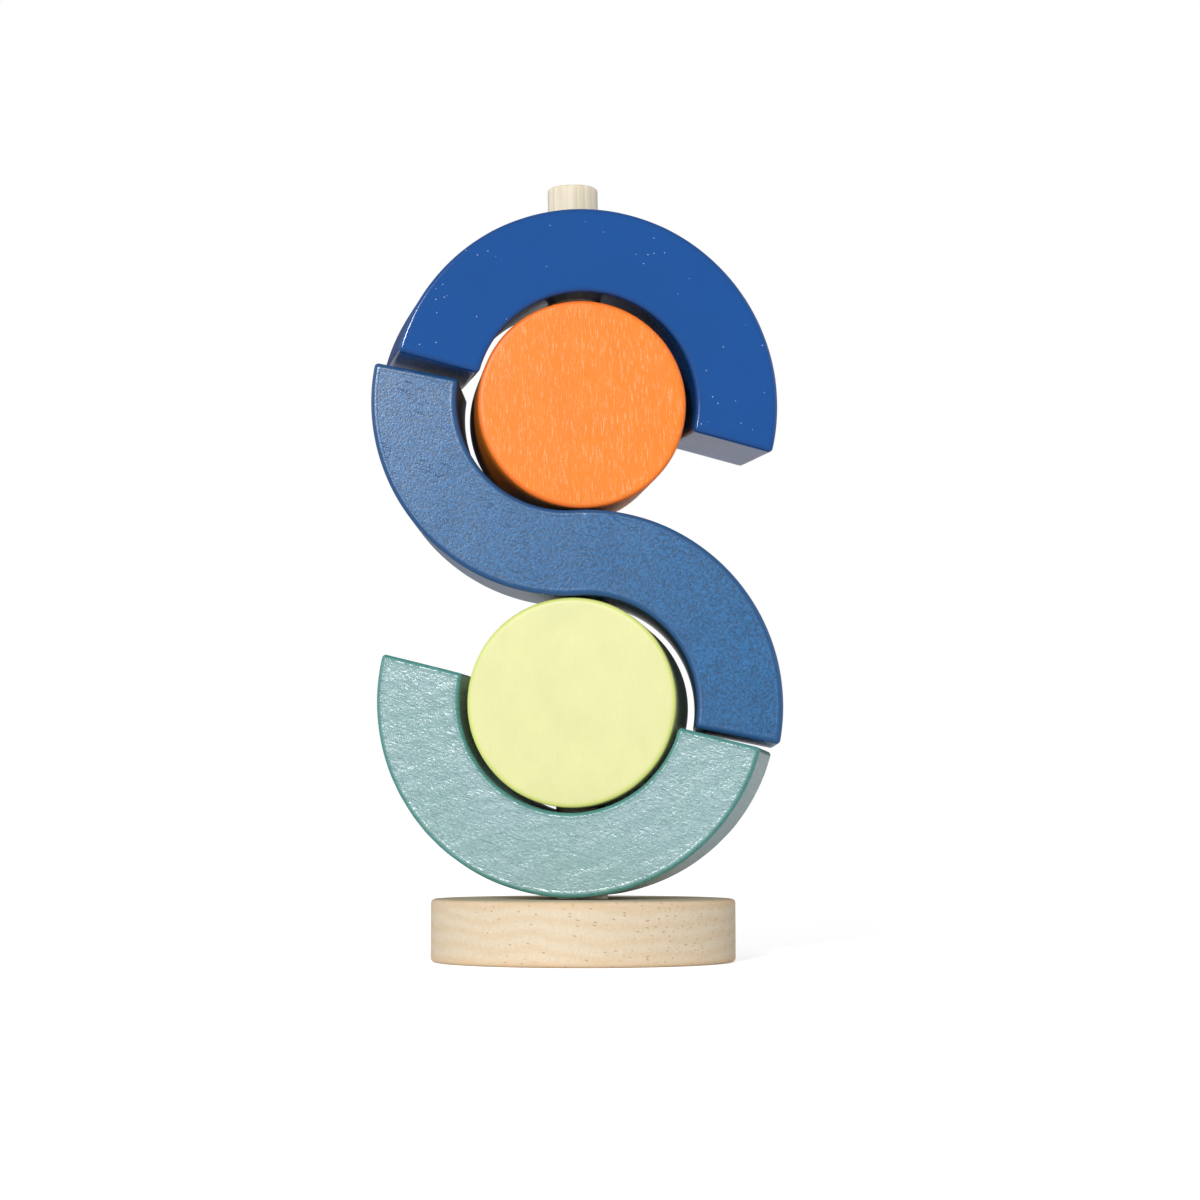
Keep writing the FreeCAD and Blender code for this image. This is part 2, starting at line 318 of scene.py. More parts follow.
def ribbon(name, sizes, inner, outer, path):
    """A bar of rounded rectangular section between two circles, bent along arcs in the XZ plane.

    Returns the piece and points along its sharpest lines, which mark the edges for wear, edge paint
    and painted edge shade.
    """
    edge = sizes.edge_round
    width, radius = (outer - inner) / 2, (outer + inner) / 4
    flat_across, flat_deep = width / 2 - edge, sizes.thickness / 2 - edge
    across, deep = round(2 * flat_across / FACE_STEP), round(2 * flat_deep / SIDE_STEP)
    total = radius * sum(math.radians(abs(last - first)) for _, first, last in path)
    swing = [math.radians(90 * i / ROUND_STEPS) for i in range(ROUND_STEPS)]
    ends = [(edge * (1 - math.cos(a)), edge * math.sin(a)) for a in swing]
    count = round((total - 2 * edge) / FACE_STEP)
    stations = [(inset, reach) for inset, reach in ends]
    stations += [(edge + (total - 2 * edge) * i / count, edge) for i in range(count + 1)]
    stations += [(total - inset, reach) for inset, reach in reversed(ends)]
    points, arrises = [], []
    for along, reach in stations:
        for offset, back in ribbon_section(flat_across, flat_deep, reach, across, deep):
            x, z = ribbon_point(path, radius, edge, along, total, offset)
            points.append((x, back, z))
        for side in (-1, 1):
            x, z = ribbon_point(path, radius, edge, along, total, side * width / 2)
            arrises += [(x, back * sizes.thickness / 2, z) for back in (-1, 1)]
    ring = len(points) // len(stations)
    faces = grid_faces(len(stations), ring, 0, closed=True)
    for along in (0.0, total):
        first = len(points)
        for i in range(across + 1):
            offset = flat_across * (2 * i / across - 1)
            x, z = ribbon_point(path, radius, edge, along, total, offset)
            points += [(x, flat_deep * (2 * k / deep - 1), z) for k in range(deep + 1)]
            arrises += [(x, back * sizes.thickness / 2, z) for back in (-1, 1)]
        faces += grid_faces(across + 1, deep + 1, first, closed=False)
        for side in (-1, 1):
            x, z = ribbon_point(path, radius, edge, along, total, side * width / 2)
            arrises += [(x, flat_deep * (2 * k / deep - 1), z) for k in range(deep + 1)]
    return make_mesh(name, points, faces), arrises


def drill(piece, sizes):
    """Cut the hole for the post up the piece's own Z axis and soften its rims."""
    radius, reach = sizes.hole_diameter / 2, sizes.arc_outer
    turns = [math.tau * i / HOLE_STEPS for i in range(HOLE_STEPS)]
    wall = [(radius * math.cos(a), radius * math.sin(a)) for a in turns]
    points = [(x, y, z) for z in (-reach, reach) for x, y in wall]
    faces = grid_faces(2, HOLE_STEPS, 0, closed=True)
    faces += [tuple(range(HOLE_STEPS)), tuple(range(HOLE_STEPS, 2 * HOLE_STEPS))]
    cutter = make_mesh("hole_cutter", points, faces)
    cut = piece.modifiers.new("hole", "BOOLEAN")
    cut.operation, cut.solver, cut.object = "DIFFERENCE", "EXACT", cutter
    view = bpy.context.evaluated_depsgraph_get()
    mesh = bpy.data.meshes.new_from_object(piece.evaluated_get(view))
    piece.modifiers.clear()
    piece.data = mesh
    bpy.data.objects.remove(cutter)
    lip = sizes.hole_lip
    for vertex in mesh.vertices:
        beyond = math.hypot(vertex.co.x, vertex.co.y) - radius
        if MERGE_GAP < beyond < lip:
            vertex.co -= vertex.normal * lip * (1 - beyond / lip) ** 2 / 2
    mesh.shade_smooth()
    mesh.set_sharp_from_angle(angle=SHARP)


def mark_edges(piece, arrises, near, far):
    """Write the attribute "edge": 1 on the rounded edges, fading to 0 on the flats."""
    tree = KDTree(len(arrises))
    for i, point in enumerate(arrises):
        tree.insert(point, i)
    tree.balance()
    mesh = piece.data
    marks = mesh.attributes.new("edge", "FLOAT", "POINT")
    for vertex in mesh.vertices:
        distance = tree.find(vertex.co)[2]
        marks.data[vertex.index].value = min(max((far - distance) / (far - near), 0.0), 1.0)


def sand(piece, depth, cell, grain=0.0):
    """Press the surface in by a soft noise, as hand sanding leaves it.

    cell is the noise's size along and across a grain that runs at the angle grain to X.
    """
    turn = Matrix.Rotation(grain, 3, "Y")
    normals = [vertex.normal.copy() for vertex in piece.data.vertices]
    for vertex, normal in zip(piece.data.vertices, normals):
        spot = turn @ vertex.co
        wave = noise.noise(Vector((spot.x / cell[0], spot.y / cell[1], spot.z / cell[2])))
        vertex.co -= normal * depth * (0.5 + 0.5 * wave)


# ---------------------------------------------------------------- materials

def add(tree, kind, inputs=None, **settings):
    """Add a node: settings are its properties, inputs are values or other nodes' outputs."""
    made = tree.nodes.new(kind)
    for name, value in settings.items():
        setattr(made, name, value)
    for key, value in (inputs or {}).items():
        if isinstance(value, bpy.types.NodeSocket):
            tree.links.new(value, made.inputs[key])
        else:
            made.inputs[key].default_value = value
    return made


def new_material(name):
    """An empty material and its node tree."""
    material = bpy.data.materials.new(name)
    material.use_nodes = True
    material.node_tree.nodes.clear()
    return material, material.node_tree


def rgba(value, factor=1.0):
    return (*(channel * factor for channel in value[:3]), 1.0)


def bead(tree, edge):
    """A low ridge just inside the edges, where paint gathers."""
    swing = add(tree, "ShaderNodeMath", {0: edge, 1: math.pi}, operation="MULTIPLY")
    return add(tree, "ShaderNodeMath", {0: swing.outputs[0]}, operation="SINE")


def sprayed_enamel(colours):
    """Water-based enamel sprayed on sanded beech: smooth and even with a satin gleam, sharp white
    glints along the rounded edges, a darker blue on the edges that is partly painted shade, and
    clouds of tiny dust nibs whose glints are painted pale into the colour."""
    material, tree = new_material("sprayed_enamel_royal_blue")
    spot = add(tree, "ShaderNodeTexCoord").outputs["Object"]
    edge = add(tree, "ShaderNodeAttribute", attribute_name="edge").outputs["Fac"]
    cloud = add(tree, "ShaderNodeTexNoise", {"Vector": spot, "Scale": 1 / (18 * MM), "Detail": 3.0})
    body = add(tree, "ShaderNodeMix", {0: cloud.outputs["Fac"], 6: rgba(colours.royal, 0.92),
                                       7: rgba(colours.royal, 1.08)}, data_type="RGBA")
    # The rounded edges a darker copy of the blue: partly deeper paint, partly painted shade where the
    # rounding turns from the light.
    edge_paint_and_shade = add(tree, "ShaderNodeMix", {0: edge, 6: body.outputs[2], 7: rgba(colours.royal, 0.80)},
              data_type="RGBA")
    # Dust nibs 0.2 mm across, drawn 0.3 mm so that they show, in loose clouds; their pale colour is a
    # painted highlight, their relief a bump.
    dust = add(tree, "ShaderNodeTexVoronoi", {"Vector": spot, "Scale": 1 / (1.7 * MM)})
    nib_and_glint = add(tree, "ShaderNodeMapRange", {"Value": dust.outputs["Distance"], "From Min": 0.12,
                                           "From Max": 0.06, "To Min": 0.0, "To Max": 1.0})
    pick = add(tree, "ShaderNodeSeparateColor", {"Color": dust.outputs["Color"]})
    crowd = add(tree, "ShaderNodeTexNoise", {"Vector": spot, "Scale": 1 / (9 * MM), "Detail": 2.0})
    few = add(tree, "ShaderNodeMapRange", {"Value": crowd.outputs["Fac"], "From Min": 0.50,
                                           "From Max": 0.75, "To Min": 0.0, "To Max": 0.80})
    chosen = add(tree, "ShaderNodeMath", {0: pick.outputs["Red"], 1: few.outputs["Result"]},
                 operation="LESS_THAN")
    shown = add(tree, "ShaderNodeMath", {0: nib_and_glint.outputs["Result"], 1: chosen.outputs[0]},
                operation="MULTIPLY")
    # Painted highlight: the chosen nibs tinted pale blue-white as glints.
    tint = add(tree, "ShaderNodeMix", {0: shown.outputs[0], 6: edge_paint_and_shade.outputs[2],
                                       7: rgba(linear("#C3D6F2"))}, data_type="RGBA")
    peel = add(tree, "ShaderNodeTexNoise", {"Vector": spot, "Scale": 1 / (1.3 * MM), "Detail": 2.0})
    height = add(tree, "ShaderNodeMath", {0: shown.outputs[0], 1: 2.0, 2: peel.outputs["Fac"]},
                 operation="MULTIPLY_ADD")
    bump = add(tree, "ShaderNodeBump", {"Height": height.outputs[0], "Strength": 1.0,
                                        "Distance": 0.03 * MM})
    gloss = add(tree, "ShaderNodeMapRange", {"Value": peel.outputs["Fac"], "To Min": 0.14,
                                             "To Max": 0.26})
    shader = add(tree, "ShaderNodeBsdfPrincipled", {
        "Base Color": tint.outputs[2], "Roughness": gloss.outputs["Result"],
        "Normal": bump.outputs["Normal"], "IOR": 1.5})
    add(tree, "ShaderNodeOutputMaterial", {"Surface": shader.outputs["BSDF"]})
    return material


def open_pored_paint(colours):
    """Thin acrylic paint rolled on open-pored ash: a fine sandy speckle whose brightest grains are
    painted glints, short dark pores along the grain with painted shade in their pits, and on the
    edges denser paint with painted shade, where a few chips show the bare wood."""
    material, tree = new_material("rolled_acrylic_slate_blue")
    spot = add(tree, "ShaderNodeTexCoord").outputs["Object"]
    edge = add(tree, "ShaderNodeAttribute", attribute_name="edge").outputs["Fac"]
    grain = add(tree, "ShaderNodeMapping", {"Vector": spot, "Rotation": (0, math.radians(22), 0),
                                            "Scale": (6 * MM, 1.5 * MM, 0.35 * MM)},
                vector_type="TEXTURE")
    sand = add(tree, "ShaderNodeTexNoise", {"Vector": spot, "Scale": 1 / (0.6 * MM),
                                            "Detail": 2.0, "Roughness": 0.6})
    patch = add(tree, "ShaderNodeTexNoise", {"Vector": spot, "Scale": 1 / (16 * MM), "Detail": 3.0})
    body = add(tree, "ShaderNodeMix", {0: patch.outputs["Fac"], 6: rgba(colours.slate, 0.86),
                                       7: rgba(colours.slate, 1.12)}, data_type="RGBA")
    # Fine speckle of lighter and darker grains; the brightest grains, up to 1.45 times the paint, are
    # painted glints.
    speckle_and_glint = add(tree, "ShaderNodeMapRange", {"Value": sand.outputs["Fac"], "From Min": 0.34,
                                             "From Max": 0.68, "To Min": 0.58, "To Max": 1.45})
    fine = add(tree, "ShaderNodeVectorMath", {0: body.outputs[2], 3: speckle_and_glint.outputs["Result"]},
               operation="SCALE")
    pores = add(tree, "ShaderNodeTexNoise", {"Vector": grain.outputs["Vector"], "Scale": 1.0,
                                             "Detail": 1.0, "Roughness": 0.5})
    places = add(tree, "ShaderNodeTexNoise", {"Vector": spot, "Scale": 1 / (24 * MM)})
    open_part = add(tree, "ShaderNodeMapRange", {"Value": places.outputs["Fac"], "From Min": 0.42,
                                                 "From Max": 0.62, "To Min": 0.0, "To Max": 0.8})
    pore = add(tree, "ShaderNodeMapRange", {"Value": pores.outputs["Fac"], "From Min": 0.62,
                                            "From Max": 0.70, "To Min": 0.0, "To Max": 1.0})
    pit = add(tree, "ShaderNodeMath", {0: pore.outputs["Result"], 1: open_part.outputs["Result"]},
              operation="MULTIPLY")
    # Pores darkened to a deep slate: partly the open grain's own tone, partly painted shade in the
    # pits.
    pores_and_shade = add(tree, "ShaderNodeMix", {0: pit.outputs[0], 6: fine.outputs["Vector"],
                                        7: rgba(colours.slate, 0.30)}, data_type="RGBA")
    # The edges a deeper blue: partly denser paint, partly painted shade where the rounding turns from
    # the light.
    edge_paint_and_shade = add(tree, "ShaderNodeMix", {0: edge, 6: pores_and_shade.outputs[2],
                                      7: rgba(linear("#235080"))}, data_type="RGBA")
    # Chips under a millimetre across, here and there along the edges.
    chips = add(tree, "ShaderNodeTexVoronoi", {"Vector": spot, "Scale": 1 / (6.5 * MM)})
    chip = add(tree, "ShaderNodeMapRange", {"Value": chips.outputs["Distance"], "From Min": 0.07,
                                            "From Max": 0.05, "To Min": 0.0, "To Max": 1.0})
    worn = add(tree, "ShaderNodeMath", {0: chip.outputs["Result"], 1: edge}, operation="MULTIPLY")
    tint = add(tree, "ShaderNodeMix", {0: worn.outputs[0], 6: edge_paint_and_shade.outputs[2],
                                       7: rgba(linear("#E3DCCB"))}, data_type="RGBA")
    ridge = bead(tree, edge)
    level = add(tree, "ShaderNodeMath", {0: ridge.outputs[0], 1: 0.7, 2: sand.outputs["Fac"]},
                operation="MULTIPLY_ADD")
    rough = add(tree, "ShaderNodeMath", {0: level.outputs[0], 1: pit.outputs[0]},
                operation="SUBTRACT")
    bump = add(tree, "ShaderNodeBump", {"Height": rough.outputs[0], "Strength": 1.0,
                                        "Distance": 0.04 * MM})
    shader = add(tree, "ShaderNodeBsdfPrincipled", {
        "Base Color": tint.outputs[2], "Roughness": 0.28, "Normal": bump.outputs["Normal"],
        "IOR": 1.5})
    add(tree, "ShaderNodeOutputMaterial", {"Surface": shader.outputs["BSDF"]})
    return material


def stained_paint(name, face, edge_paint_and_shade_colour, streak_colour, streak_depth):
    """Thinned acrylic brushed on turned beech: upright hair-fine streaks of paler grain show
    through the faces, and the colour gathers, pure and deep, on the sanded edges, where it is
    partly painted shade."""
    material, tree = new_material(name)
    spot = add(tree, "ShaderNodeTexCoord").outputs["Object"]
    edge = add(tree, "ShaderNodeAttribute", attribute_name="edge").outputs["Fac"]
    grain = add(tree, "ShaderNodeMapping", {"Vector": spot, "Scale": (0.26 * MM, 0.26 * MM, 3.2 * MM)},
                vector_type="TEXTURE")
    streaks = add(tree, "ShaderNodeTexNoise", {"Vector": grain.outputs["Vector"], "Scale": 1.0,
                                               "Detail": 2.0, "Roughness": 0.55})
    grit = add(tree, "ShaderNodeTexNoise", {"Vector": spot, "Scale": 1 / (0.5 * MM), "Detail": 2.0})
    patch = add(tree, "ShaderNodeTexNoise", {"Vector": spot, "Scale": 1 / (11 * MM), "Detail": 4.0})
    body = add(tree, "ShaderNodeMix", {0: patch.outputs["Fac"], 6: rgba(face, 0.90),
                                       7: rgba(face, 1.08)}, data_type="RGBA")
    broken = add(tree, "ShaderNodeMath", {0: grit.outputs["Fac"], 1: 0.35,
                                          2: streaks.outputs["Fac"]}, operation="MULTIPLY_ADD")
    streak = add(tree, "ShaderNodeMapRange", {"Value": broken.outputs[0], "From Min": 0.74,
                                              "From Max": 0.90, "To Min": 0.0,
                                              "To Max": streak_depth})
    grained = add(tree, "ShaderNodeMix", {0: streak.outputs["Result"], 6: body.outputs[2],
                                          7: rgba(streak_colour)}, data_type="RGBA")
    # Edge colour: partly paint gathered on the edges, partly painted shade where the rounding turns
    # from the light.
    gathered_and_shaded = add(tree, "ShaderNodeMath", {0: edge, 1: 0.7}, operation="MULTIPLY")
    tint = add(tree, "ShaderNodeMix", {0: gathered_and_shaded.outputs[0], 6: grained.outputs[2],
                                       7: rgba(edge_paint_and_shade_colour)}, data_type="RGBA")
    bump = add(tree, "ShaderNodeBump", {"Height": broken.outputs[0], "Strength": 1.0,
                                        "Distance": 0.05 * MM})
    shader = add(tree, "ShaderNodeBsdfPrincipled", {
        "Base Color": tint.outputs[2], "Roughness": 0.40, "Normal": bump.outputs["Normal"],
        "IOR": 1.5})
    add(tree, "ShaderNodeOutputMaterial", {"Surface": shader.outputs["BSDF"]})
    return material


def brushed_paint(colours):
    """Gloss acrylic brushed over raised grain: wrinkled ridges run down to the right and catch the
    light in short white glints, with painted shade and highlight along them in the colour; the film
    is bluish and thin on top and green where it gathers on the edges, partly painted shade."""
    material, tree = new_material("brushed_acrylic_sage_green")
    spot = add(tree, "ShaderNodeTexCoord").outputs["Object"]
    edge = add(tree, "ShaderNodeAttribute", attribute_name="edge").outputs["Fac"]
    brush = add(tree, "ShaderNodeMapping", {"Vector": spot, "Rotation": (0, math.radians(18), 0),
                                            "Scale": (3.2 * MM, 1.0 * MM, 0.5 * MM)},
                vector_type="TEXTURE")
    ridges = add(tree, "ShaderNodeTexNoise", {"Vector": brush.outputs["Vector"], "Scale": 1.0,
                                              "Detail": 2.0, "Roughness": 0.5,
                                              "Distortion": 0.5})
    crease = add(tree, "ShaderNodeMapRange", {"Value": ridges.outputs["Fac"], "From Min": 0.54,
                                              "From Max": 0.63, "To Min": 0.0, "To Max": 1.0},
                 interpolation_type="SMOOTHSTEP")
    pimples = add(tree, "ShaderNodeTexNoise", {"Vector": spot, "Scale": 1 / (0.9 * MM),
                                               "Detail": 2.0})
    patch = add(tree, "ShaderNodeTexNoise", {"Vector": spot, "Scale": 1 / (15 * MM), "Detail": 4.0})
    body = add(tree, "ShaderNodeMix", {0: patch.outputs["Fac"], 6: rgba(linear("#7FA8A3")),
                                       7: rgba(colours.sage)}, data_type="RGBA")
    # Painted shade and highlight: the colour darkened in the ridges' troughs and lightened on their
    # crests.
    shade = add(tree, "ShaderNodeMapRange", {"Value": ridges.outputs["Fac"], "From Min": 0.38,
                                             "From Max": 0.60, "To Min": 0.92, "To Max": 1.06})
    ridged = add(tree, "ShaderNodeVectorMath", {0: body.outputs[2], 3: shade.outputs["Result"]},
                 operation="SCALE")
    # Teal edges: partly paint gathered there, partly painted shade where the rounding turns from the
    # light.
    tint = add(tree, "ShaderNodeMix", {0: edge, 6: ridged.outputs["Vector"],
                                       7: rgba(linear("#4C8F87"))}, data_type="RGBA")
    ridge = bead(tree, edge)
    rolled = add(tree, "ShaderNodeMath", {0: ridge.outputs[0], 1: 0.6, 2: crease.outputs["Result"]},
                 operation="MULTIPLY_ADD")
    height = add(tree, "ShaderNodeMath", {0: pimples.outputs["Fac"], 1: 0.8, 2: rolled.outputs[0]},
                 operation="MULTIPLY_ADD")
    bump = add(tree, "ShaderNodeBump", {"Height": height.outputs[0], "Strength": 1.0,
                                        "Distance": 0.115 * MM})
    shader = add(tree, "ShaderNodeBsdfPrincipled", {
        "Base Color": tint.outputs[2], "Roughness": 0.25, "Normal": bump.outputs["Normal"],
        "IOR": 1.5})
    add(tree, "ShaderNodeOutputMaterial", {"Surface": shader.outputs["BSDF"]})
    return material


def bare_rubberwood(colours):
    """Bare sanded rubberwood, sawn so that the grain sweeps across in low arches: soft rings a few
    millimetres apart, a fuzzy sanded nap and short brown vessel flecks, thicker to one side."""
    material, tree = new_material("sanded_rubberwood")
    spot = add(tree, "ShaderNodeTexCoord").outputs["Object"]
    edge = add(tree, "ShaderNodeAttribute", attribute_name="edge").outputs["Fac"]
    # The heart of the tree lies well behind and below the piece and slants across it.
    heart = add(tree, "ShaderNodeVectorMath", {0: spot, 1: (8 * MM, -20 * MM, 75 * MM)},
                operation="ADD")
    flat = add(tree, "ShaderNodeVectorMath", {0: heart.outputs["Vector"], 1: (0.42, 0.5, 1.0)},
               operation="MULTIPLY")
    wander = add(tree, "ShaderNodeTexNoise", {"Vector": spot, "Scale": 1 / (22 * MM),
                                              "Detail": 3.0})
    depth = add(tree, "ShaderNodeVectorMath", {0: flat.outputs["Vector"]}, operation="LENGTH")
    bent = add(tree, "ShaderNodeMath", {0: wander.outputs["Fac"], 1: 9 * MM,
                                        2: depth.outputs["Value"]}, operation="MULTIPLY_ADD")
    rings = add(tree, "ShaderNodeMath", {0: bent.outputs[0], 1: math.tau / (4.2 * MM)},
                operation="MULTIPLY")
    wave = add(tree, "ShaderNodeMath", {0: rings.outputs[0]}, operation="SINE")
    late = add(tree, "ShaderNodeMapRange", {"Value": wave.outputs[0], "From Min": -0.6,
                                            "From Max": 1.0, "To Min": 0.0, "To Max": 0.30})
    ringed = add(tree, "ShaderNodeMix", {0: late.outputs["Result"], 6: rgba(colours.rubberwood),
                                         7: rgba(linear("#D3B483"))}, data_type="RGBA")
    nap = add(tree, "ShaderNodeTexNoise", {"Vector": spot, "Scale": 1 / (0.8 * MM), "Detail": 3.0})
    fuzz = add(tree, "ShaderNodeMapRange", {"Value": nap.outputs["Fac"], "From Min": 0.3,
                                            "From Max": 0.7, "To Min": 0.95, "To Max": 1.05})
    sanded = add(tree, "ShaderNodeVectorMath", {0: ringed.outputs[2], 3: fuzz.outputs["Result"]},
                 operation="SCALE")
    grain = add(tree, "ShaderNodeMapping", {"Vector": spot, "Rotation": (0, math.radians(14), 0),
                                            "Scale": (2.4 * MM, 1.0 * MM, 0.7 * MM)},
                vector_type="TEXTURE")
    vessels = add(tree, "ShaderNodeTexVoronoi", {"Vector": grain.outputs["Vector"], "Scale": 1.0})
    fleck = add(tree, "ShaderNodeMapRange", {"Value": vessels.outputs["Distance"],
                                             "From Min": 0.30, "From Max": 0.16, "To Min": 0.0,
                                             "To Max": 0.9})
    pick = add(tree, "ShaderNodeSeparateColor", {"Color": vessels.outputs["Color"]})
    across = add(tree, "ShaderNodeSeparateXYZ", {"Vector": spot})
    thicker = add(tree, "ShaderNodeMapRange", {"Value": across.outputs["X"], "From Min": -30 * MM,
                                               "From Max": 35 * MM, "To Min": 0.06,
                                               "To Max": 0.50})
    rare = add(tree, "ShaderNodeMath", {0: pick.outputs["Red"], 1: thicker.outputs["Result"]},
               operation="LESS_THAN")
    shown = add(tree, "ShaderNodeMath", {0: fleck.outputs["Result"], 1: rare.outputs[0]},
                operation="MULTIPLY")
    flecked = add(tree, "ShaderNodeMix", {0: shown.outputs[0], 6: sanded.outputs["Vector"],
                                          7: rgba(linear("#B98E62"))}, data_type="RGBA")
    # The rounded edges take a warmer, deeper tan.
    edge_toned = add(tree, "ShaderNodeMath", {0: edge, 1: 0.30}, operation="MULTIPLY")
    tint = add(tree, "ShaderNodeMix", {0: edge_toned.outputs[0], 6: flecked.outputs[2],
                                       7: rgba(linear("#DDB383"))}, data_type="RGBA")
    relief = add(tree, "ShaderNodeMath", {0: nap.outputs["Fac"], 1: 0.5, 2: shown.outputs[0]},
                 operation="MULTIPLY_ADD")
    bump = add(tree, "ShaderNodeBump", {"Height": relief.outputs[0], "Strength": 1.0,
                                        "Distance": 0.05 * MM}, invert=True)
    shader = add(tree, "ShaderNodeBsdfPrincipled", {
        "Base Color": tint.outputs[2], "Roughness": 0.6, "Normal": bump.outputs["Normal"],
        "IOR": 1.5})
    add(tree, "ShaderNodeOutputMaterial", {"Surface": shader.outputs["BSDF"]})
    return material


def bare_birch(colours):
    """Bare birch dowel: straight silky streaks of cream and straw along its length."""
    material, tree = new_material("sanded_birch_dowel")
    spot = add(tree, "ShaderNodeTexCoord").outputs["Object"]
    grain = add(tree, "ShaderNodeMapping", {"Vector": spot, "Scale": (1.5 * MM, 1.5 * MM, 60 * MM)},
                vector_type="TEXTURE")
    streaks = add(tree, "ShaderNodeTexNoise", {"Vector": grain.outputs["Vector"], "Scale": 1.0,
                                               "Detail": 4.0, "Roughness": 0.6})
    straw = add(tree, "ShaderNodeMapRange", {"Value": streaks.outputs["Fac"], "From Min": 0.45,
                                             "From Max": 0.68, "To Min": 0.0, "To Max": 0.7})
    tint = add(tree, "ShaderNodeMix", {0: straw.outputs["Result"], 6: rgba(colours.birch),
                                       7: rgba(linear("#D2BE93"))}, data_type="RGBA")
    bump = add(tree, "ShaderNodeBump", {"Height": streaks.outputs["Fac"], "Strength": 1.0,
                                        "Distance": 0.04 * MM})
    shader = add(tree, "ShaderNodeBsdfPrincipled", {
        "Base Color": tint.outputs[2], "Roughness": 0.55, "Normal": bump.outputs["Normal"],
        "IOR": 1.5})
    add(tree, "ShaderNodeOutputMaterial", {"Surface": shader.outputs["BSDF"]})
    return material


def matt_floor(colours):
    """Matt white paper: pale, even and without gloss, and lit through so that it meets the white
    of the room with no line between them."""
    material, tree = new_material("matt_paper")
    path = add(tree, "ShaderNodeLightPath")
    glow = add(tree, "ShaderNodeMath", {0: path.outputs["Is Camera Ray"], 1: 0.60},
               operation="MULTIPLY")
    shader = add(tree, "ShaderNodeBsdfPrincipled", {
        "Base Color": rgba(colours.floor, 0.88), "Roughness": 0.95, "Specular IOR Level": 0.1,
        "Emission Color": (1, 1, 1, 1), "Emission Strength": glow.outputs[0]})
    add(tree, "ShaderNodeOutputMaterial", {"Surface": shader.outputs["BSDF"]})
    return material


# ---------------------------------------------------------------- putting a piece in its place

def on_post(sizes, height, turn=0.0, lean=0.0, nod=0.0):
    """A place at a height on the leaning post, for a piece turned and tilted in its loose hole."""
    foot = sizes.base_thickness - sizes.socket_depth
    axis = Matrix.Rotation(sizes.post_lean, 4, "Y")
    spin = Matrix.Rotation(turn, 4, "Z") @ Matrix.Rotation(lean, 4, "Y")
    aside = (height - foot) * math.tan(sizes.post_lean)
    return Matrix.Translation((aside, 0, height)) @ axis @ spin @ Matrix.Rotation(nod, 4, "X")


def settle(piece, material, body, node, slot, place=None):
    """Finish a piece: its material, its place and the CAD node that it stands for."""
    piece.data.materials.clear()
    piece.data.materials.append(material)
    if place is not None:
        piece.matrix_world = place
    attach(piece, body)
    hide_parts(node)


class ToyOperator:
    """What the toy's operators share."""
    bl_options = {"REGISTER", "UNDO"}

    def settings(self, context):
        toy = context.scene
        return toy.toy_sizes, toy.toy_places, toy.toy_colours


class TOY_OT_base(ToyOperator, Operator):
    """Turn the round base with its socket"""
    bl_idname = "toy.base"
    bl_label = "Base"

    def execute(self, context):
        sizes, _, colours = self.settings(context)
        piece = lathe("turned_base", base_profile(sizes))
        radius = sizes.base_diameter / 2
        rims = rim_points(radius, 0.0) + rim_points(radius, sizes.base_thickness)
        mark_edges(piece, rims, 1.2 * MM, 2.6 * MM)
        lean_socket(piece, sizes)
        piece.data.set_sharp_from_angle(angle=SHARP)
        settle(piece, bare_rubberwood(colours), "root", "base", "bare_base_wood")
        return {"FINISHED"}


class TOY_OT_post(ToyOperator, Operator):
    """Turn the dowel with its rounded top"""
    bl_idname = "toy.post"
    bl_label = "Post"

    def execute(self, context):
        sizes, _, colours = self.settings(context)
        piece = lathe("dowel_post", post_profile(sizes))
        piece.data.set_sharp_from_angle(angle=SHARP)
        settle(piece, bare_birch(colours), "root", "post", "bare_post_wood",
               on_post(sizes, sizes.base_thickness - sizes.socket_depth))
        return {"FINISHED"}


class TOY_OT_arcs(ToyOperator, Operator):
    """Saw, round, drill and paint the two half rings"""
    bl_idname = "toy.arcs"
    bl_label = "Arcs"

    def execute(self, context):
        sizes, places, colours = self.settings(context)
        reach = (sizes.arc_outer + sizes.arc_inner) / 4
        cut = math.degrees(sizes.cut)
        inner, outer = sizes.arc_inner, sizes.arc_outer
        lower, lower_edges = ribbon("brushed_lower_arc", sizes, inner, outer,
                                    [(reach, 180 - cut, 360 - cut)])
        upper, upper_edges = ribbon("sprayed_upper_arc", sizes, inner, outer,
                                    [(-reach, 180 - cut, -cut)])
        for piece, edges in ((lower, lower_edges), (upper, upper_edges)):
            drill(piece, sizes)
            mark_edges(piece, edges, 0.6 * MM, 1.7 * MM)
        sand(lower, 0.12 * MM, (10 * MM, 6 * MM, 2.8 * MM), math.radians(17))
        sand(upper, 0.10 * MM, (12 * MM, 12 * MM, 12 * MM))
        settle(lower, brushed_paint(colours), "lower_arc", "lower_arc", "sage_green_paint",
               on_post(sizes, places.lower_arc_height, places.lower_arc_turn,
                       nod=places.lower_arc_nod))
        settle(upper, sprayed_enamel(colours), "upper_arc", "upper_arc", "royal_blue_paint",
               on_post(sizes, places.upper_arc_height, places.upper_arc_turn,
                       places.upper_arc_lean, places.upper_arc_nod))
        return {"FINISHED"}


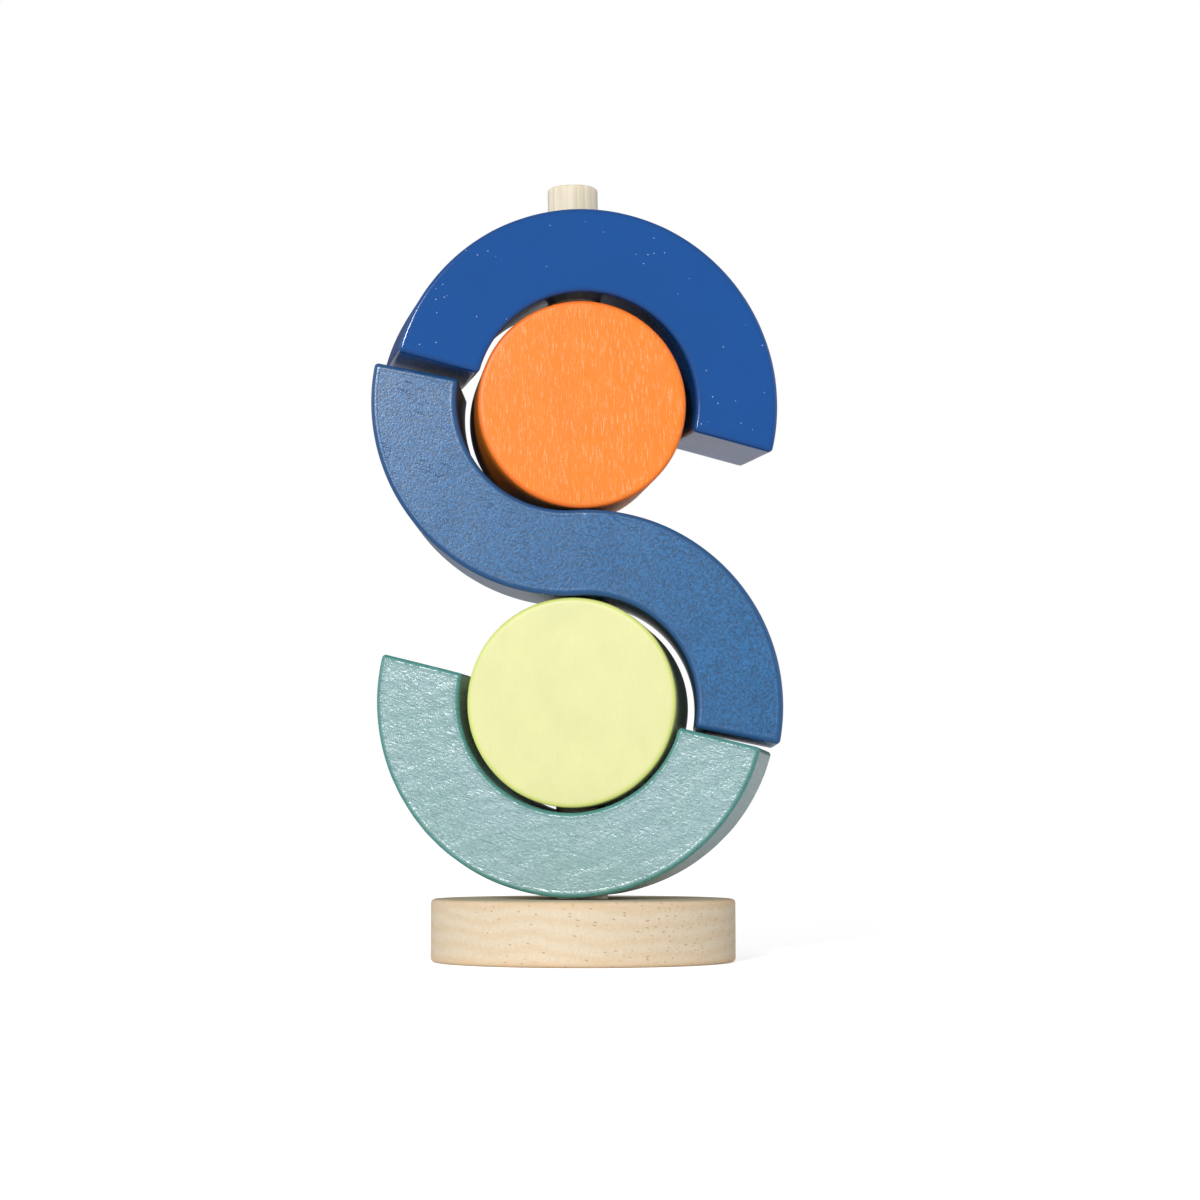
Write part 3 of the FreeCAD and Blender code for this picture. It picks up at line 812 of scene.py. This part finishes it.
class TOY_OT_s_curve(ToyOperator, Operator):
    """Saw, round, drill and paint the S curve"""
    bl_idname = "toy.s_curve"
    bl_label = "S Curve"

    def execute(self, context):
        sizes, places, colours = self.settings(context)
        reach = (sizes.s_outer + sizes.s_inner) / 4
        cut = math.degrees(sizes.cut)
        path = [(reach, 180 - cut, 270), (-reach, 90, -cut)]
        piece, edges = ribbon("painted_s_curve", sizes, sizes.s_inner, sizes.s_outer, path)
        drill(piece, sizes)
        mark_edges(piece, edges, 0.7 * MM, 1.9 * MM)
        sand(piece, 0.05 * MM, (12 * MM, 12 * MM, 12 * MM))
        settle(piece, open_pored_paint(colours), "s_curve", "s_curve", "slate_blue_paint",
               on_post(sizes, places.s_curve_height, places.s_curve_turn, places.s_curve_lean))
        return {"FINISHED"}


class TOY_OT_discs(ToyOperator, Operator):
    """Turn, drill and paint the two discs"""
    bl_idname = "toy.discs"
    bl_label = "Discs"

    def execute(self, context):
        sizes, places, colours = self.settings(context)
        lower = lathe("stained_lower_disc", disc_profile(sizes), lying=True)
        upper = lathe("stained_upper_disc", disc_profile(sizes), lying=True)
        for piece in (lower, upper):
            drill(piece, sizes)
            rims = rim_points(sizes.disc_diameter / 2, -sizes.thickness / 2, lying=True)
            rims += rim_points(sizes.disc_diameter / 2, sizes.thickness / 2, lying=True)
            mark_edges(piece, rims, 0.5 * MM, 1.3 * MM)
            sand(piece, 0.10 * MM, (7 * MM, 7 * MM, 14 * MM))
        # The second colour of each disc is its edge colour: gathered paint and painted shade.
        lime = stained_paint("brushed_acrylic_lime", colours.lime, linear("#D7E66E"),
                             linear("#F4F6CF"), 0.10)
        orange = stained_paint("brushed_acrylic_orange", colours.orange, linear("#F46A1E"),
                               linear("#FFC48E"), 0.60)
        settle(lower, lime, "lower_disc", "lower_disc", "lime_paint",
               on_post(sizes, places.lower_disc_height, places.lower_disc_turn,
                       nod=places.lower_disc_nod))
        settle(upper, orange, "upper_disc", "upper_disc", "orange_paint",
               on_post(sizes, places.upper_disc_height, places.upper_disc_turn))
        return {"FINISHED"}


class TOY_OT_stage(ToyOperator, Operator):
    """Lay the pale floor and set the soft light and the camera"""
    bl_idname = "toy.stage"
    bl_label = "Stage"

    def execute(self, context):
        colours = self.settings(context)[2]
        scene = context.scene
        ends = ((-1, -1), (1, -1), (1, 1), (-1, 1))
        corners = [(x * FLOOR_HALF, y * FLOOR_HALF, 0) for x, y in ends]
        floor = make_mesh("floor", corners, [(0, 1, 2, 3)])
        floor.data.materials.append(matt_floor(colours))

        # A key light to the left of the camera and a little above it.
        key = bpy.data.lights.new("key", "SUN")
        key.angle, key.energy = KEY_SPREAD, KEY_STRENGTH
        lamp = bpy.data.objects.new("key", key)
        scene.collection.objects.link(lamp)
        lamp.rotation_euler = Vector(KEY_WAY).to_track_quat("Z", "Y").to_euler()

        world = bpy.data.worlds.new("pale_room")
        world.use_nodes = True
        tree = world.node_tree
        tree.nodes.clear()
        # The room is lightest to either side and darkest straight behind, and looks white.
        way = add(tree, "ShaderNodeTexCoord").outputs["Generated"]
        forward = add(tree, "ShaderNodeSeparateXYZ", {"Vector": way})
        room = add(tree, "ShaderNodeMapRange", {"Value": forward.outputs["Y"], "From Min": 0.55,
                                                "From Max": 0.9, "To Min": 1.0, "To Max": 0.25})
        aside = add(tree, "ShaderNodeMath", {0: forward.outputs["X"]}, operation="ABSOLUTE")
        walls = add(tree, "ShaderNodeMapRange", {"Value": aside.outputs[0], "From Min": 0.6,
                                                 "From Max": 0.9, "To Min": 0.42, "To Max": 1.15})
        light = add(tree, "ShaderNodeMath", {0: room.outputs["Result"], 1: walls.outputs["Result"]},
                    operation="MULTIPLY")
        path = add(tree, "ShaderNodeLightPath")
        seen = add(tree, "ShaderNodeMix", {0: path.outputs["Is Camera Ray"],
                                           2: light.outputs[0], 3: 1.0})
        sky = add(tree, "ShaderNodeBackground", {"Color": (1, 1, 1, 1),
                                                 "Strength": seen.outputs[0]})
        add(tree, "ShaderNodeOutputWorld", {"Surface": sky.outputs["Background"]})
        scene.world = world

        camera = bpy.data.cameras.new("camera")
        camera.sensor_width, camera.lens = 36.0, EYE_LENS
        eye = bpy.data.objects.new("camera", camera)
        eye.location = EYE_PLACE
        eye.rotation_euler = (EYE_TILT, 0, 0)
        scene.collection.objects.link(eye)
        scene.camera = eye
        scene.view_settings.view_transform = "Standard"
        return {"FINISHED"}


class TOY_PT_panel(Panel):
    """Lists the toy's sizes, colours and pieces"""
    bl_idname = "TOY_PT_panel"
    bl_label = "Stacking Toy"
    bl_space_type = "VIEW_3D"
    bl_region_type = "UI"
    bl_category = "Stacking Toy"

    def draw(self, context):
        layout = self.layout
        for group in (context.scene.toy_sizes, context.scene.toy_places, context.scene.toy_colours):
            box = layout.box()
            for name in group.__annotations__:
                box.prop(group, name)
        for operator in OPERATORS:
            layout.operator(operator.bl_idname)


OPERATORS = (TOY_OT_base, TOY_OT_post, TOY_OT_arcs, TOY_OT_discs, TOY_OT_s_curve, TOY_OT_stage)
GROUPS = {"toy_sizes": ToySizes, "toy_places": ToyPlaces, "toy_colours": ToyColours}


def register():
    for kind in (*GROUPS.values(), *OPERATORS, TOY_PT_panel):
        bpy.utils.register_class(kind)
    for name, group in GROUPS.items():
        setattr(bpy.types.Scene, name, PointerProperty(type=group))


def unregister():
    for name in GROUPS:
        delattr(bpy.types.Scene, name)
    for kind in (TOY_PT_panel, *reversed(OPERATORS), *GROUPS.values()):
        bpy.utils.unregister_class(kind)


def main():
    """Build the toy and its stage."""
    register()
    bpy.ops.toy.base()
    bpy.ops.toy.post()
    bpy.ops.toy.arcs()
    bpy.ops.toy.discs()
    bpy.ops.toy.s_curve()
    bpy.ops.toy.stage()


if __name__ == "__main__":
    main()
